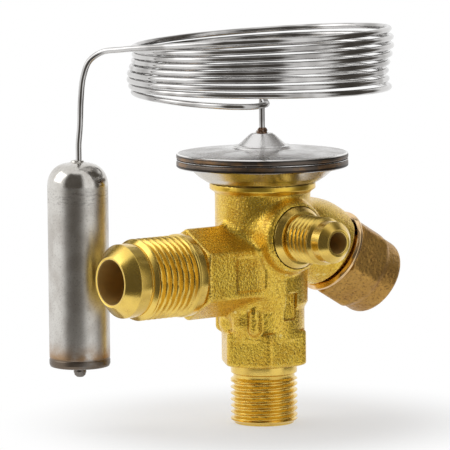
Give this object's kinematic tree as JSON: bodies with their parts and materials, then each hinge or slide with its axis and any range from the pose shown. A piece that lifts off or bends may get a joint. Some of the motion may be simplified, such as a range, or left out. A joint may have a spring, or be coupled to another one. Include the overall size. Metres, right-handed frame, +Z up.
{
  "type": "refrigerant expansion valve",
  "caption": "Brass refrigerant expansion valve with flared ports, a diaphragm element, a coiled capillary with its sensing bulb, and a capped superheat adjuster.",
  "frame": {"origin": "on the inlet's axis where the inlet thread begins; the plain tip reaches 0.95 mm below", "axes": "+Z up the valve axis to the diaphragm element; -X along the outlet port; -Y along the equaliser port; the adjuster leans 30 degrees below +X"},
  "size_m": [0.0861, 0.0624, 0.094],
  "materials": {
    "brass": "hot forged, blasted, and turned bright on its threads and seats",
    "cap_brass": "extruded hexagon bar, dull and brown with a turned bright chamfer",
    "case_steel": "pressed stainless sheet, satin, with a dark laser weld at the rim",
    "tube_steel": "drawn stainless tube, polished",
    "bulb_steel": "drawn stainless, satin, with a straw heat tint at its ends",
    "braze": "dark, uneven braze",
    "diaphragm_steel": "thin rolled stainless sheet",
    "spring_steel": "drawn spring wire",
    "gear_steel": "cut and hardened steel",
    "plated_steel": "turned, zinc plated",
    "pin_steel": "ground",
    "seal_rubber": "moulded",
    "packing": "pressed fluoropolymer",
    "strainer_steel": "pressed and perforated sheet"
  },
  "bodies": {
    "root": {"valve_body": "brass", "upper_case": "case_steel", "lower_case": "case_steel", "diaphragm": "diaphragm_steel", "braze_bead": "braze", "capillary_tube": "tube_steel", "sensor_bulb": "bulb_steel", "charge_pip": "bulb_steel", "guide_pins": "pin_steel", "superheat_spring": "spring_steel", "rod_guide": "brass", "rod_seal": "seal_rubber", "gland_washer": "plated_steel", "spindle_seal": "seal_rubber", "packing_ring": "packing", "gland_nut": "brass", "orifice_body": "brass", "orifice_seal": "seal_rubber", "cone_spring": "spring_steel", "spring_retainer": "brass", "strainer_collar": "strainer_steel", "strainer_mesh": "strainer_steel"},
    "spindle": {"adjusting_spindle": "gear_steel"},
    "ring_gear": {"ring_gear": "gear_steel"},
    "seat": {"spring_seat": "plated_steel"},
    "valve_rod": {"thrust_plate": "plated_steel", "push_rod": "pin_steel", "metering_pin": "pin_steel"},
    "gasket": {"cap_gasket": "packing"},
    "cap": {"cap_nut": "cap_brass"}
  },
  "joints": [
    {"name": "seat_travel", "type": "slide", "parent": "root", "child": "seat", "axis": [0, 0, 1], "range_m": [-0.0015, 0.0015], "deforming": ["superheat_spring"]},
    {"name": "spindle_turn", "type": "hinge", "parent": "root", "child": "spindle", "pos_m": [0, 0, 0.0501], "axis": [0.866, 0, -0.5], "range_deg": [-1081, 1081]},
    {"name": "gear_spin", "type": "hinge", "parent": "root", "child": "ring_gear", "pos_m": [0, 0, 0.0501], "axis": [0, 0, 1], "range_deg": [-541, 541]},
    {"name": "valve_stroke", "type": "slide", "parent": "root", "child": "valve_rod", "axis": [0, 0, 1], "range_m": [-0.0008, 0], "stiffness_N_per_m": 2000, "springref_m": 0.0005, "deforming": ["superheat_spring", "cone_spring"]},
    {"name": "cap_travel", "type": "slide", "parent": "root", "child": "gasket", "axis": [0.866, 0, -0.5], "range_m": [0, 0.00805]},
    {"name": "cap_turn", "type": "hinge", "parent": "gasket", "child": "cap", "pos_m": [0, 0, 0.0501], "axis": [0.866, 0, -0.5], "range_deg": [0, 2880]}
  ],
  "couplings": [
    {"joint": "spindle_turn", "follows": "seat_travel", "rad_per_m": -12566},
    {"joint": "gear_spin", "follows": "seat_travel", "rad_per_m": -6283.2},
    {"joint": "cap_travel", "follows": "cap_turn", "m_per_rad": 0.00015915}
  ]
}
